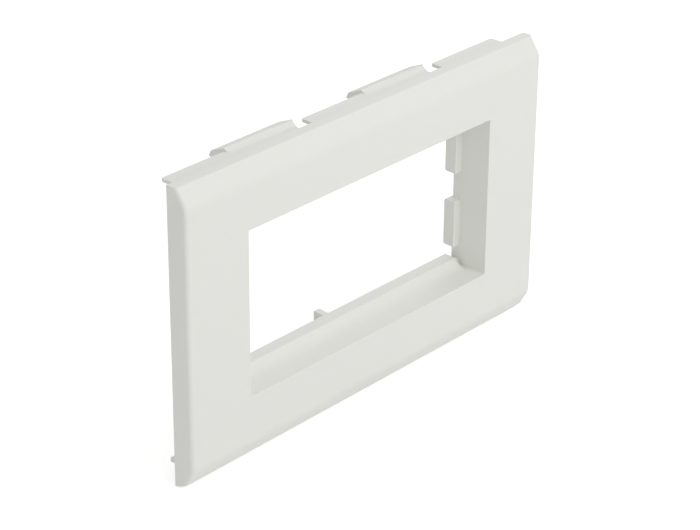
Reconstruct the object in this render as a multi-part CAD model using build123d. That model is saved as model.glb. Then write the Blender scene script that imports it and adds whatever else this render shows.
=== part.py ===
from build123d import *
import math
import os

# A two-module cover frame for 80 mm cable trunking, moulded in one piece.
# It carries two 45 x 45 mm modules (keystone jack plates) side by side in its window.
# X runs to the right, Y from the front face back into the trunking, Z up.
# The origin is the middle of the window on the plane of the front face.
# All sizes are in millimetres.

# Cover plate
cover_width = 132.0
cover_height = 80.0        # without the lower rim's flare
skirt_depth = 6.3          # front face to the rear edge of the skirt
front_wall = 2.2           # thickness of the front plate
skirt_wall = 1.8           # thickness of the skirt, more where the lower rim flares
bevel_depth = 3.1          # how far back the upper long edge is bevelled
bevel_height = 4.4         # how far the bevel reaches down the front face
bevel_blend = 4.4          # radius where the bevel runs into the flat face
side_round = 1.1           # radius of the two short front edges

# The lower rim isn't level as the upper one is: it flares from its bevel to the rear edge
lower_bevel_depth = 2.6
lower_bevel_drop = 0.3     # foot of the lower bevel, below the cover's height
flare_drop = 1.7           # rear edge of the lower rim, below the cover's height

# Window and the collar behind it
window_width = 90.7        # two 45 mm modules and their clearance
window_height = 45.6
collar_wall = 1.5
collar_depth = 12.0        # front face to the rear edge of the collar

# Module catches: a ledge along the top and bottom, two pads at each side
catch_reach = 2.4          # how far each ledge and pad stands into the window
catch_front = 9.35         # front face to the face that a module rests against
catch_depth = 3.7          # depth of the ledges and pads behind that face
ledge_slope = 50.0         # angle of the ledge's front, in degrees
ledge_lip = 1.15           # length of its straight part below the ridge
ledge_end_gap = 1.3        # the ledge stops this far from the side walls
ledge_corner = 0.4         # radius of its rear corners there
web_drop = 0.7             # a thin web closes that gap, this much lower than the ledge
web_wall = 1.0
pad_length = 13.7
pad_centres = [-10.15, 11.8]    # heights of the pads' middles; they sit a little high
pad_round = 0.7

# One small stop on each ledge, behind its rear edge
stop_left = -5.3
stop_width = 2.15
stop_depth = 3.4
stop_rise = 0.2            # its rear end stands this much above the ledge
stop_round = 0.3           # radius of that end

# Rear flange and its snap hooks, the same along the top and the bottom
flange_drop = 1.35         # from the edge of the cover in to the flange's outer face
flange_wall = 1.0
flange_reach = 5.75        # behind the skirt's rear edge
flange_corner = 0.6        # rounded outer corners of the flange
flange_spans = [(-62.2, -17.6), (-14.5, 31.5), (34.9, 59.5)]
hooked_spans = 2           # the first two spans end in a hook, the last is plain
relief_width = 1.35        # a hooked end is cut back this much beside the skirt
relief_depth = 3.1

hook_length = 23.8
hook_height = 0.8          # crest above the flange
hook_ramp = 2.0            # hollow rise in front of the crest
hook_slope = 4.5           # lead-in slope behind the crest
hook_fall = 2.0            # drop of that slope
hook_nose = 1.75           # depth of the blunt nose
hook_nose_lean = 0.85
hook_edge = 0.3

# Stiffening ribs between the collar and the skirt
rib_places = [-22.5, 22.5]
rib_wall = 1.2
rib_depth = 5.4            # front face to the rear edge of the ribs

# How far a piece that is fused on reaches into the wall that carries it
overlap = 0.5

half_width = cover_width / 2
half_height = cover_height / 2
opening_x = window_width / 2
opening_z = window_height / 2
collar_x = opening_x + collar_wall
collar_z = opening_z + collar_wall
flange_z = half_height - flange_drop
flange_rear = skirt_depth + flange_reach


def straight_section(points):
    """A closed straight-sided section across X, given as (y, z) points."""
    return make_face(Polyline(*[(0, y, z) for y, z in points], close=True))


def along_x(section, x_start, x_end):
    """Extrude a section that lies across X from x_start to x_end."""
    return Pos(x_start, 0, 0) * extrude(section, amount=x_end - x_start, dir=(1, 0, 0))


def block(x_range, y_range, z_range):
    """A plain block between two limits on each axis."""
    sizes = [high - low for low, high in (x_range, y_range, z_range)]
    middle = [(high + low) / 2 for low, high in (x_range, y_range, z_range)]
    return Pos(*middle) * Box(*sizes)


def both_edges(upper):
    """The same feature along the top and, mirrored, along the bottom."""
    return upper + mirror(upper, about=Plane.XY)


def cover_plate():
    """The solid outer form: bevelled long edges, softly rounded short ones."""
    corner_z = half_height - bevel_height
    section = straight_section([
        (skirt_depth, -half_height - flare_drop),
        (lower_bevel_depth, -half_height - lower_bevel_drop), (0, -corner_z),
        (0, corner_z), (bevel_depth, half_height), (skirt_depth, half_height)])
    front_corners = section.vertices().group_by(Axis.Y)[0]
    section = fillet(front_corners, bevel_blend)
    plate = along_x(section, -half_width, half_width)
    faces = plate.faces().sort_by(Axis.X)
    end_edges = faces[0].edges() + faces[-1].edges()
    front_edges = end_edges.filter_by(lambda edge: edge.center().Y < bevel_depth)
    return fillet(front_edges, side_round)


def rear_hollow():
    """The space behind the front plate, parallel to the outer form."""
    lean = math.hypot(bevel_depth, bevel_height)
    rise = bevel_height / bevel_depth
    # A point on the bevel's inner face, one wall away from the bevel's foot.
    foot_y = front_wall * bevel_height / lean
    foot_z = half_height - bevel_height - front_wall * bevel_depth / lean
    inner_z = half_height - skirt_wall
    front_z = foot_z + (front_wall - foot_y) * rise
    bevel_y = foot_y + (inner_z - foot_z) / rise
    rear = skirt_depth + overlap
    section = straight_section([
        (rear, -inner_z), (bevel_y, -inner_z), (front_wall, -front_z),
        (front_wall, front_z), (bevel_y, inner_z), (rear, inner_z)])
    inner_x = half_width - skirt_wall
    return along_x(section, -inner_x, inner_x)


def collar():
    """The walls round the window, still filled where the window goes through."""
    return block((-collar_x, collar_x), (front_wall / 2, collar_depth), (-collar_z, collar_z))


def window():
    """What is taken out for the modules, right through the plate and the collar."""
    return block((-opening_x, opening_x), (-overlap, collar_depth + overlap),
                 (-opening_z, opening_z))


def ledge():
    """The sloped catch along the top of the window, with its hollow front."""
    slope = math.radians(ledge_slope)
    face_z = opening_z - catch_reach
    lip_y = catch_front - ledge_lip * math.cos(slope)
    lip_z = face_z + ledge_lip * math.sin(slope)
    # The hollow is an arc that leaves the window's wall and ends on the slope.
    radius = (opening_z - lip_z) / (1 - math.cos(slope))
    start_y = lip_y - radius * math.sin(slope)
    half = slope / 2
    middle = (start_y + radius * math.sin(half), opening_z - radius * (1 - math.cos(half)))
    rear_y = catch_front + catch_depth
    arc = ThreePointArc((0, start_y, opening_z), (0, *middle), (0, lip_y, lip_z))
    rest = Polyline((0, lip_y, lip_z), (0, catch_front, face_z), (0, rear_y, face_z),
                    (0, rear_y, collar_z), (0, start_y, collar_z), (0, start_y, opening_z))
    section = make_face(Wire([arc, *rest.edges()]))
    end = opening_x - ledge_end_gap
    bar = along_x(section, -end, end)
    rear_corners = bar.edges().filter_by(Axis.Z).group_by(Axis.Y)[-1]
    return fillet(rear_corners, ledge_corner)


def ledge_webs():
    """Two thin webs that join the top ledge's ends to the side walls."""
    web = block((opening_x - ledge_end_gap - overlap, collar_x),
                (catch_front, catch_front + web_wall),
                (opening_z - catch_reach + web_drop, collar_z))
    return web + mirror(web, about=Plane.YZ)


def stop():
    """The small stop behind the ledge, rising a little to its rounded rear end."""
    face_z = opening_z - catch_reach
    start_y = catch_front + catch_depth
    root_y = start_y - overlap
    rear_y = start_y + stop_depth
    section = straight_section([
        (root_y, face_z), (start_y, face_z), (rear_y, face_z - stop_rise),
        (rear_y, collar_z), (root_y, collar_z)])
    tip = section.vertices().sort_by(Axis.Z)[0]
    return along_x(fillet(tip, stop_round), stop_left, stop_left + stop_width)


def side_pads():
    """Four pads, two on each side wall, for the short edges of the modules."""
    pad = block((opening_x - catch_reach, collar_x), (catch_front, catch_front + catch_depth),
                (-pad_length / 2, pad_length / 2))
    rear_edges = pad.edges().filter_by(Axis.X).group_by(Axis.Y)[-1]
    pad = fillet(rear_edges, pad_round)
    right = [Pos(0, 0, centre) * pad for centre in pad_centres]
    return right + [mirror(pad, about=Plane.YZ) for pad in right]


def flange_span(x_start, x_end, hooked):
    """One stretch of the top flange; only the left rear corner of a hooked one is rounded."""
    plan = make_face(Polyline(
        (x_start, bevel_depth, 0), (x_end, bevel_depth, 0),
        (x_end, flange_rear, 0), (x_start, flange_rear, 0), close=True))
    corners = plan.vertices().group_by(Axis.Y)[-1].sort_by(Axis.X)
    plan = fillet(corners[:1] if hooked else corners, flange_corner)
    return Pos(0, 0, flange_z - flange_wall) * extrude(plan, amount=flange_wall, dir=(0, 0, 1))


def hook(x_start, x_end):
    """A snap hook: hollow rise, crest, lead-in slope and blunt nose."""
    crest_y = flange_rear
    crest_z = flange_z + hook_height
    ramp_y = crest_y - hook_ramp
    radius = (hook_ramp ** 2 + hook_height ** 2) / (2 * hook_height)
    turn = math.asin(hook_ramp / radius) / 2
    middle = (ramp_y + radius * math.sin(turn), flange_z + radius * (1 - math.cos(turn)))
    tip_y = crest_y + hook_slope
    tip_z = crest_z - hook_fall
    low_y = tip_y + hook_nose_lean
    low_z = tip_z - hook_nose
    under_z = flange_z - flange_wall
    arc = ThreePointArc((0, ramp_y, flange_z), (0, *middle), (0, crest_y, crest_z))
    rest = Polyline((0, crest_y, crest_z), (0, tip_y, tip_z), (0, low_y, low_z),
                    (0, low_y - flange_wall, low_z), (0, crest_y - hook_height, under_z),
                    (0, ramp_y, under_z), (0, ramp_y, flange_z))
    section = make_face(Wire([arc, *rest.edges()]))
    tip = section.vertices().sort_by(Axis.Y)[-2:]
    return along_x(fillet(tip, hook_edge), x_start, x_end)


def relief(x_end):
    """What is cut away at the right end of a hooked stretch, through flange and hook."""
    narrow_x = x_end - relief_width
    beyond_x = x_end + overlap
    plan = make_face(Polyline(
        (narrow_x, bevel_depth, 0), (beyond_x, bevel_depth, 0), (beyond_x, flange_rear, 0),
        (x_end, flange_rear, 0), (narrow_x, flange_rear - relief_depth, 0), close=True))
    height = flange_wall + hook_height
    return Pos(0, 0, flange_z - flange_wall) * extrude(plan, amount=height, dir=(0, 0, 1))


def top_edge():
    """The three stretches of the top flange, the first ones with their hooks."""
    stretches = []
    for number, (x_start, x_end) in enumerate(flange_spans):
        hooked = number < hooked_spans
        stretch = flange_span(x_start, x_end, hooked)
        if hooked:
            stretch = stretch + hook(x_end - hook_length, x_end) - relief(x_end)
        stretches.append(stretch)
    return stretches


def ribs():
    """Ribs from the collar to the skirt above the window, kept inside the outer form."""
    outer = cover_plate()
    depth = (front_wall / 2, rib_depth)
    height = (collar_z - overlap, half_height - overlap)
    return [outer & block((x - rib_wall / 2, x + rib_wall / 2), depth, height)
            for x in rib_places]


def module_frame():
    """The whole moulding, fused into one solid."""
    frame = cover_plate() - rear_hollow()
    frame += collar()
    frame -= window()
    for piece in [ledge(), ledge_webs(), stop(), *top_edge(), *ribs()]:
        frame += both_edges(piece)
    for pad in side_pads():
        frame += pad
    return frame


os.makedirs("parts", exist_ok=True)
frame = module_frame()
solids = frame.solids()
print("solids", len(solids), "volume", round(frame.volume, 1), "mm3")
size = frame.bounding_box().size
print("size", round(size.X, 2), round(size.Y, 2), round(size.Z, 2))
export_step(solids[0], "parts/module_frame.step")
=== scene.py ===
# %% [markdown]
# A holder for keystone modules, seen from the front left and a little above.
#
# The real object is one white plastic moulding: a flat cover with bevelled long edges, a wide
# window for two square modules, and a flange with snap hooks behind it that click into cable
# trunking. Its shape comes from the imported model. This file gives it softened edges, its plastic,
# a floor, the light and the camera. Lengths are in metres, as Blender has them.

import math

import bmesh
import bpy
import numpy as np
from mathutils import Matrix, Vector
from mathutils.geometry import intersect_point_line


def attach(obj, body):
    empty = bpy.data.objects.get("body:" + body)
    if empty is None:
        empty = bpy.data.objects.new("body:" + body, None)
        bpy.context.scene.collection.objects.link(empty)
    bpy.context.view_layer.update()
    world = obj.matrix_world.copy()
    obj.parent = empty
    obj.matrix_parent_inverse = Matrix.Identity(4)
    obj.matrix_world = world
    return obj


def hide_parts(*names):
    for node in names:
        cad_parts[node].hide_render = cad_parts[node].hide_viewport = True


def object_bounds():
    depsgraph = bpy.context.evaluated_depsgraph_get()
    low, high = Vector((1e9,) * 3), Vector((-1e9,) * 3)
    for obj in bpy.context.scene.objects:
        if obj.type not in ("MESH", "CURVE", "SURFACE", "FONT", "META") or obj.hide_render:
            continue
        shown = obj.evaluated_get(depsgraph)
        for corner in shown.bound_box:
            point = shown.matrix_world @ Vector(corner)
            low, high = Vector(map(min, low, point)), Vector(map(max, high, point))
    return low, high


MM = 0.001

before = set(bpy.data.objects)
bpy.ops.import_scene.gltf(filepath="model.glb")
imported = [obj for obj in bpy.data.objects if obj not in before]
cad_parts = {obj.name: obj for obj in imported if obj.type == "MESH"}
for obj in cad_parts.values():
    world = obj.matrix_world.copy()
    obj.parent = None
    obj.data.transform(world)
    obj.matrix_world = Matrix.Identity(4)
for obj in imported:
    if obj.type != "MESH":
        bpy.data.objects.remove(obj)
cad_low, cad_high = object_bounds()
print("cover", [round(side / MM, 1) for side in cad_high - cad_low], "mm")

# %% [markdown]
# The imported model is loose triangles. That is enough to show a shape, but a modifier that works on
# edges has to know which two faces meet at each one.
#
# So the work starts on a joined copy: corners at one place are merged, and triangles that lie in
# one plane become a single face. The angle for that is small, so curved faces keep their facets.

# %% A joined copy of the moulding
WELD_DISTANCE = 0.0001 * MM
FLAT_ANGLE = math.radians(0.4)


def joined_shell(node):
    """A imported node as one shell, with its doubles merged and its flat areas made single faces."""
    shell = bmesh.new()
    shell.from_mesh(node.data)
    bmesh.ops.remove_doubles(shell, verts=shell.verts, dist=WELD_DISTANCE)
    bmesh.ops.dissolve_limit(
        shell, angle_limit=FLAT_ANGLE, verts=shell.verts, edges=shell.edges)
    return shell


shell = joined_shell(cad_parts["module_frame"])
print("joined shell", len(shell.faces), "faces")

# %% [markdown]
# No edge that comes out of a mould is perfectly sharp. Each one has a tiny round that catches the
# light, and a render without it looks like paper. The rounds could be modelled one by one, but a
# Bevel modifier rounds every marked edge alike, which leaves only the marking to do.
#
# Edges are marked by their angle, and a few that have no room for a round are left out. Where a
# face runs out into a thin point, as at the foot of a hook's ramp, or where a tiny edge lies
# beside a strip hardly wider than the round, as at a hook's end, the modifier would turn its own
# faces inside out and leave a dark sliver. Those edges stay sharp, in their shading too.

# %% Mark the edges to round
EDGE_ROUND = 0.16 * MM
EDGE_ANGLE = math.radians(28)
THIN_CORNER = math.radians(15)
LONG_EDGE = 6.0 * MM
NARROW_FACE = 1.5 * EDGE_ROUND
TINY_EDGE = 0.7 * MM
RUNS_BACK_COSINE = -0.3


def corner_angle(face, vertex):
    """The angle of a face at one of its corners."""
    return next(loop.calc_angle() for loop in face.loops if loop.vert == vertex)


def width_beside(edge, face):
    """How wide the face is at the edge: from its middle to the nearest side that runs back."""
    own = next(loop for loop in face.loops if loop.edge == edge)
    start, end = own.vert.co, own.link_loop_next.vert.co
    middle = (start + end) / 2
    width = math.inf
    for loop in face.loops:
        near, far = loop.vert.co, loop.link_loop_next.vert.co
        if (far - near).normalized().dot((end - start).normalized()) < RUNS_BACK_COSINE:
            share = intersect_point_line(middle, near, far)[1]
            foot = near.lerp(far, min(max(share, 0.0), 1.0))
            width = min(width, (foot - middle).length)
    return width


def has_room(edge):
    """False for a short edge that ends at a thin corner, or a tiny one beside a narrow face."""
    corners = [corner_angle(face, end) for face in edge.link_faces for end in edge.verts]
    width = min(width_beside(edge, face) for face in edge.link_faces)
    length = edge.calc_length()
    return ((length > LONG_EDGE or min(corners) > THIN_CORNER)
            and (length > TINY_EDGE or width > NARROW_FACE))


def mark_edges(shell):
    """Of the edges over EDGE_ANGLE, bevel weight 1 where there is room, else sharp shading.

    Gives back how many were marked.
    """
    weight = shell.edges.layers.float.new("bevel_weight_edge")
    marked = 0
    for edge in shell.edges:
        if len(edge.link_faces) == 2 and edge.calc_face_angle() > EDGE_ANGLE:
            if has_room(edge):
                edge[weight] = 1.0
                marked += 1
            else:
                edge.smooth = False
    return marked


print("edges to round", mark_edges(shell))

# %% [markdown]
# The marked shell becomes an object, and two modifiers finish it. Bevel puts a round of two strips
# on each marked edge. Weighted Normal then lets the large faces lead the shading, so that the flat
# cover looks flat right up to its rounds.

# %% Round the marked edges
ROUND_STRIPS = 2


def add_object(name, data):
    """A new object at the origin, linked to the scene."""
    made = bpy.data.objects.new(name, data)
    bpy.context.scene.collection.objects.link(made)
    return made


def object_from_shell(shell, name):
    """The shell as a smooth-shaded object. The shell is freed."""
    mesh = bpy.data.meshes.new(name)
    shell.to_mesh(mesh)
    shell.free()
    mesh.shade_smooth()
    return add_object(name, mesh)


def soften_edges(piece):
    """Round the marked edges, then keep the large flat faces flat in shading."""
    bevel = piece.modifiers.new("moulded_edges", "BEVEL")
    bevel.width = EDGE_ROUND
    bevel.segments = ROUND_STRIPS
    bevel.limit_method = "WEIGHT"
    bevel.use_clamp_overlap = False
    normals = piece.modifiers.new("flat_faces", "WEIGHTED_NORMAL")
    normals.keep_sharp = True


moulding = object_from_shell(shell, "moulded_frame")
soften_edges(moulding)
print("moulding", len(moulding.data.polygons), "faces before its edges are rounded")

# %% [markdown]
# The plastic has a satin skin. Up close it isn't quite even: the mould leaves a very fine grain,
# and the roughness varies a little where the plastic flowed.
#
# An image could carry this, but noise worked out from the object's own coordinates has no seams
# and stays sharp at any distance. The skin is a node group with named inputs, so that it can go
# into another material with other values.

# %% The skin of moulded plastic
SKIN_INPUTS = ("Grain Scale", "Grain Strength", "Middle Roughness", "Roughness Spread")
GRAIN_DETAIL = 2.0
GRAIN_HEIGHT = 0.05 * MM
FLOW_SCALE = 45.0
NOISE_MIDDLE = 0.5


def moulded_skin_group():
    """Normal: fine noise as a bump. Roughness: its middle, give or take slow noise times spread."""
    group = bpy.data.node_groups.new("moulded_skin", "ShaderNodeTree")
    for name in SKIN_INPUTS:
        group.interface.new_socket(name, in_out="INPUT", socket_type="NodeSocketFloat")
    group.interface.new_socket("Roughness", in_out="OUTPUT", socket_type="NodeSocketFloat")
    group.interface.new_socket("Normal", in_out="OUTPUT", socket_type="NodeSocketVector")
    node = group.nodes.new
    link = group.links.new
    given = node("NodeGroupInput")
    result = node("NodeGroupOutput")
    place = node("ShaderNodeTexCoord")

    grain = node("ShaderNodeTexNoise")
    grain.inputs["Detail"].default_value = GRAIN_DETAIL
    link(place.outputs["Object"], grain.inputs["Vector"])
    link(given.outputs["Grain Scale"], grain.inputs["Scale"])
    bump = node("ShaderNodeBump")
    bump.inputs["Distance"].default_value = GRAIN_HEIGHT
    link(given.outputs["Grain Strength"], bump.inputs["Strength"])
    link(grain.outputs["Fac"], bump.inputs["Height"])
    link(bump.outputs["Normal"], result.inputs["Normal"])

    flow = node("ShaderNodeTexNoise")
    flow.inputs["Scale"].default_value = FLOW_SCALE
    link(place.outputs["Object"], flow.inputs["Vector"])
    centred = node("ShaderNodeMath")
    centred.operation = "SUBTRACT"
    centred.inputs[1].default_value = NOISE_MIDDLE
    link(flow.outputs["Fac"], centred.inputs[0])
    spread = node("ShaderNodeMath")
    spread.operation = "MULTIPLY_ADD"
    link(centred.outputs[0], spread.inputs[0])
    link(given.outputs["Roughness Spread"], spread.inputs[1])
    link(given.outputs["Middle Roughness"], spread.inputs[2])
    link(spread.outputs[0], result.inputs["Roughness"])
    return group


moulded_skin = moulded_skin_group()
print("skin group", len(moulded_skin.nodes), "nodes")

# %% [markdown]
# The colour is a warm off-white, a touch yellower than paper. Mouldings show a faint drift in tone
# from one end to the other, too slow to see as a pattern, and it keeps the wide flat cover from
# looking like a cut-out.
#
# One flat colour would do for a small part. Here slow noise mixes two off-whites that lie close
# together, and the skin group adds grain and roughness.

# %% The white plastic
PLASTIC_LIGHT = (0.853, 0.858, 0.816, 1.0)
PLASTIC_WARM = (0.840, 0.843, 0.797, 1.0)
PLASTIC_IOR = 1.5
DRIFT_SCALE = 18.0
DRIFT_DETAIL = 1.0
SATIN_SKIN = {
    "Grain Scale": 900.0,
    "Grain Strength": 0.05,
    "Middle Roughness": 0.48,
    "Roughness Spread": 0.08,
}


def white_plastic():
    """Principled plastic: colour drifts between two off-whites, grain and roughness by the skin."""
    material = bpy.data.materials.new("white_plastic_satin")
    material.use_nodes = True
    nodes = material.node_tree.nodes
    link = material.node_tree.links.new
    shader = nodes["Principled BSDF"]
    shader.inputs["IOR"].default_value = PLASTIC_IOR

    place = nodes.new("ShaderNodeTexCoord")
    drift = nodes.new("ShaderNodeTexNoise")
    drift.inputs["Scale"].default_value = DRIFT_SCALE
    drift.inputs["Detail"].default_value = DRIFT_DETAIL
    link(place.outputs["Object"], drift.inputs["Vector"])
    tone = nodes.new("ShaderNodeMix")
    tone.data_type = "RGBA"
    tone.inputs["A"].default_value = PLASTIC_WARM
    tone.inputs["B"].default_value = PLASTIC_LIGHT
    link(drift.outputs["Fac"], tone.inputs["Factor"])
    link(tone.outputs["Result"], shader.inputs["Base Color"])

    skin = nodes.new("ShaderNodeGroup")
    skin.node_tree = moulded_skin
    for name, value in SATIN_SKIN.items():
        skin.inputs[name].default_value = value
    link(skin.outputs["Roughness"], shader.inputs["Roughness"])
    link(skin.outputs["Normal"], shader.inputs["Normal"])
    return material


moulding.data.materials.clear()
moulding.data.materials.append(white_plastic())
print("material", moulding.data.materials[0].name)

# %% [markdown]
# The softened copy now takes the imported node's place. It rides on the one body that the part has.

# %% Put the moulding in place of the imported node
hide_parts("module_frame")
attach(moulding, "root")
print("moulding rides on root")

# %% [markdown]
# The photograph is a catalogue picture on pure white. A floor and a backdrop in one sheet give
# that look: flat where the cover stands, then curving up behind it with no visible join.
#
# Two planes would meet in a line that shows. The sheet is a profile carried along a straight line
# instead, worked out as whole arrays.

# %% The floor and backdrop
FLOOR_HALF_WIDTH = 3.0
FLOOR_REACH = 2.4
BACKDROP_RISE = 3.0
SWEEP_RADIUS = 1.2
SWEEP_POINTS = 24


def sheet_profile():
    """Points (y, z): straight floor, a quarter circle of SWEEP_RADIUS, then straight up."""
    floor_z = cad_low.z
    turn = np.linspace(0.0, math.pi / 2, SWEEP_POINTS)
    curve_y = FLOOR_REACH + SWEEP_RADIUS * np.sin(turn)
    curve_z = floor_z + SWEEP_RADIUS * (1.0 - np.cos(turn))
    y = np.concatenate([[-FLOOR_REACH], curve_y, [curve_y[-1]]])
    z = np.concatenate([[floor_z], curve_z, [floor_z + BACKDROP_RISE]])
    return y, z


def grid_mesh(name, points):
    """A mesh from an array of shape rows x columns x 3, with one quad between four neighbours."""
    rows, columns = points.shape[:2]
    index = np.arange(rows * columns).reshape(rows, columns)
    corners = np.stack(
        [index[:-1, :-1], index[1:, :-1], index[1:, 1:], index[:-1, 1:]], axis=-1)
    mesh = bpy.data.meshes.new(name)
    mesh.from_pydata(points.reshape(-1, 3).tolist(), [], corners.reshape(-1, 4).tolist())
    mesh.shade_smooth()
    return mesh


def studio_sheet():
    """The profile carried along X, from one side of the floor to the other."""
    x = np.array([[-FLOOR_HALF_WIDTH], [FLOOR_HALF_WIDTH]])
    y, z = sheet_profile()
    points = np.stack(np.broadcast_arrays(x, y, z), axis=-1)
    return add_object("studio_sheet", grid_mesh("studio_sheet", points))


sheet = studio_sheet()
print("floor at", round(cad_low.z / MM, 1), "mm")

# %% [markdown]
# The sheet is matt white paper. Lit like everything else it would come out pale grey, and more
# light to lift it would burn out the object.
#
# So the paper glows as well, but only where it is looked at. A Light Path node tells the rays that
# see it, straight or by a glossy or clear surface, from the rays that light the scene. That leaves
# the light on the object as it is, and the shadow under the cover stays.

# %% The white paper
WHITE = (1.0, 1.0, 1.0, 1.0)
PAPER_WHITE = (0.86, 0.86, 0.86, 1.0)
PAPER_ROUGHNESS = 0.9
PAPER_GLOW = 0.5


def seen_rays(tree):
    """1 for camera, glossy and transmission rays, 0 for the rays that light the scene."""
    path = tree.nodes.new("ShaderNodeLightPath")
    either = tree.nodes.new("ShaderNodeMath")
    either.operation = "MAXIMUM"
    tree.links.new(path.outputs["Is Camera Ray"], either.inputs[0])
    tree.links.new(path.outputs["Is Glossy Ray"], either.inputs[1])
    seen = tree.nodes.new("ShaderNodeMath")
    seen.operation = "MAXIMUM"
    tree.links.new(either.outputs[0], seen.inputs[0])
    tree.links.new(path.outputs["Is Transmission Ray"], seen.inputs[1])
    return seen.outputs[0]


def white_paper():
    """Matt white that glows by PAPER_GLOW for camera, glossy and transmission rays."""
    material = bpy.data.materials.new("studio_paper")
    material.use_nodes = True
    tree = material.node_tree
    shader = tree.nodes["Principled BSDF"]
    shader.inputs["Base Color"].default_value = PAPER_WHITE
    shader.inputs["Roughness"].default_value = PAPER_ROUGHNESS
    shader.inputs["Specular IOR Level"].default_value = 0.0
    shader.inputs["Emission Color"].default_value = WHITE
    glow = tree.nodes.new("ShaderNodeMath")
    glow.operation = "MULTIPLY"
    glow.inputs[1].default_value = PAPER_GLOW
    tree.links.new(seen_rays(tree), glow.inputs[0])
    tree.links.new(glow.outputs[0], shader.inputs["Emission Strength"])
    return material


sheet.data.materials.append(white_paper())
print("material", sheet.data.materials[0].name, "glows by", PAPER_GLOW)

# %% [markdown]
# The light is even, as in a light tent: the shaded left side is only a little darker than the
# front. Most of it is the world's own soft glow. A large key lamp straight ahead and above gives
# the faces their order of tones: bevel, front, top, lower bevel, left side. It stands so near the
# middle that it reaches into the window and lights the front faces of the pads there.
#
# A weak lamp behind, high on the right, lifts the top and the right end a little.

# %% World and lamps
WORLD_LIGHT = 0.62
KEY_PLACE = (0.08, -0.85, 0.64)
KEY_SIDE = 0.5
KEY_POWER = 3.2
TOP_PLACE = (0.9, 0.45, 0.75)
TOP_SIDE = 0.7
TOP_POWER = 0.9
WINDOW_MIDDLE = Vector((0.0, 0.0, 0.0))


def light_world():
    """A plain glow for the object, pure white wherever the world itself is seen."""
    world = bpy.data.worlds.new("light_tent")
    bpy.context.scene.world = world
    world.use_nodes = True
    tree = world.node_tree
    background = tree.nodes["Background"]
    background.inputs["Color"].default_value = WHITE
    strength = tree.nodes.new("ShaderNodeMapRange")
    strength.inputs["To Min"].default_value = WORLD_LIGHT
    strength.inputs["To Max"].default_value = 1.0
    tree.links.new(seen_rays(tree), strength.inputs["Value"])
    tree.links.new(strength.outputs["Result"], background.inputs["Strength"])


def soft_lamp(name, place, side, power):
    """A square area lamp at a place, turned to face the middle of the window."""
    lamp = bpy.data.lights.new(name, "AREA")
    lamp.shape = "SQUARE"
    lamp.size = side
    lamp.energy = power
    holder = add_object(name, lamp)
    holder.location = place
    holder.rotation_mode = "QUATERNION"
    holder.rotation_quaternion = (WINDOW_MIDDLE - Vector(place)).to_track_quat("-Z", "Y")


light_world()
soft_lamp("key", KEY_PLACE, KEY_SIDE, KEY_POWER)
soft_lamp("top", TOP_PLACE, TOP_SIDE, TOP_POWER)
print("world", WORLD_LIGHT, "key", KEY_POWER, "W", "top", TOP_POWER, "W")

# %% [markdown]
# The camera stands at the front left and looks down on the cover. Its place, turn and lens were
# worked out from the window's corners and the cover's outline in the photograph, which shows the
# left end clearly larger than the right one: a long lens, but close by. Sensor and lens are in
# millimetres, as on a real camera.

# %% The camera
IMAGE_WIDTH = 700
SENSOR_WIDTH = 36.0
FOCAL_PIXELS = 2356.0
CAMERA_AZIMUTH = math.radians(48.01)
CAMERA_ELEVATION = math.radians(26.95)
CAMERA_ROLL = math.radians(0.45)
CAMERA_PLACE = (-402.8 * MM, -354.1 * MM, 269.5 * MM)


def camera_turn(azimuth, elevation, roll):
    """Columns are the camera's right, up and back directions, after a roll about its own axis."""
    back = Vector((-math.sin(azimuth) * math.cos(elevation),
                   -math.cos(azimuth) * math.cos(elevation), math.sin(elevation)))
    right = Vector((math.cos(azimuth), -math.sin(azimuth), 0.0))
    up = back.cross(right)
    rolled_right = math.cos(roll) * right + math.sin(roll) * up
    rolled_up = back.cross(rolled_right)
    return Matrix((rolled_right, rolled_up, back)).transposed()


def photo_camera():
    """A camera with no shift and no depth of field, at the photograph's viewing angle."""
    data = bpy.data.cameras.new("photo_camera")
    data.sensor_width = SENSOR_WIDTH
    data.lens = FOCAL_PIXELS * SENSOR_WIDTH / IMAGE_WIDTH
    camera = add_object("photo_camera", data)
    turn = camera_turn(CAMERA_AZIMUTH, CAMERA_ELEVATION, CAMERA_ROLL)
    camera.matrix_world = Matrix.Translation(CAMERA_PLACE) @ turn.to_4x4()
    bpy.context.scene.camera = camera
    return camera


camera = photo_camera()
bpy.context.scene.view_settings.view_transform = "Standard"
print("lens", round(camera.data.lens, 1), "mm")
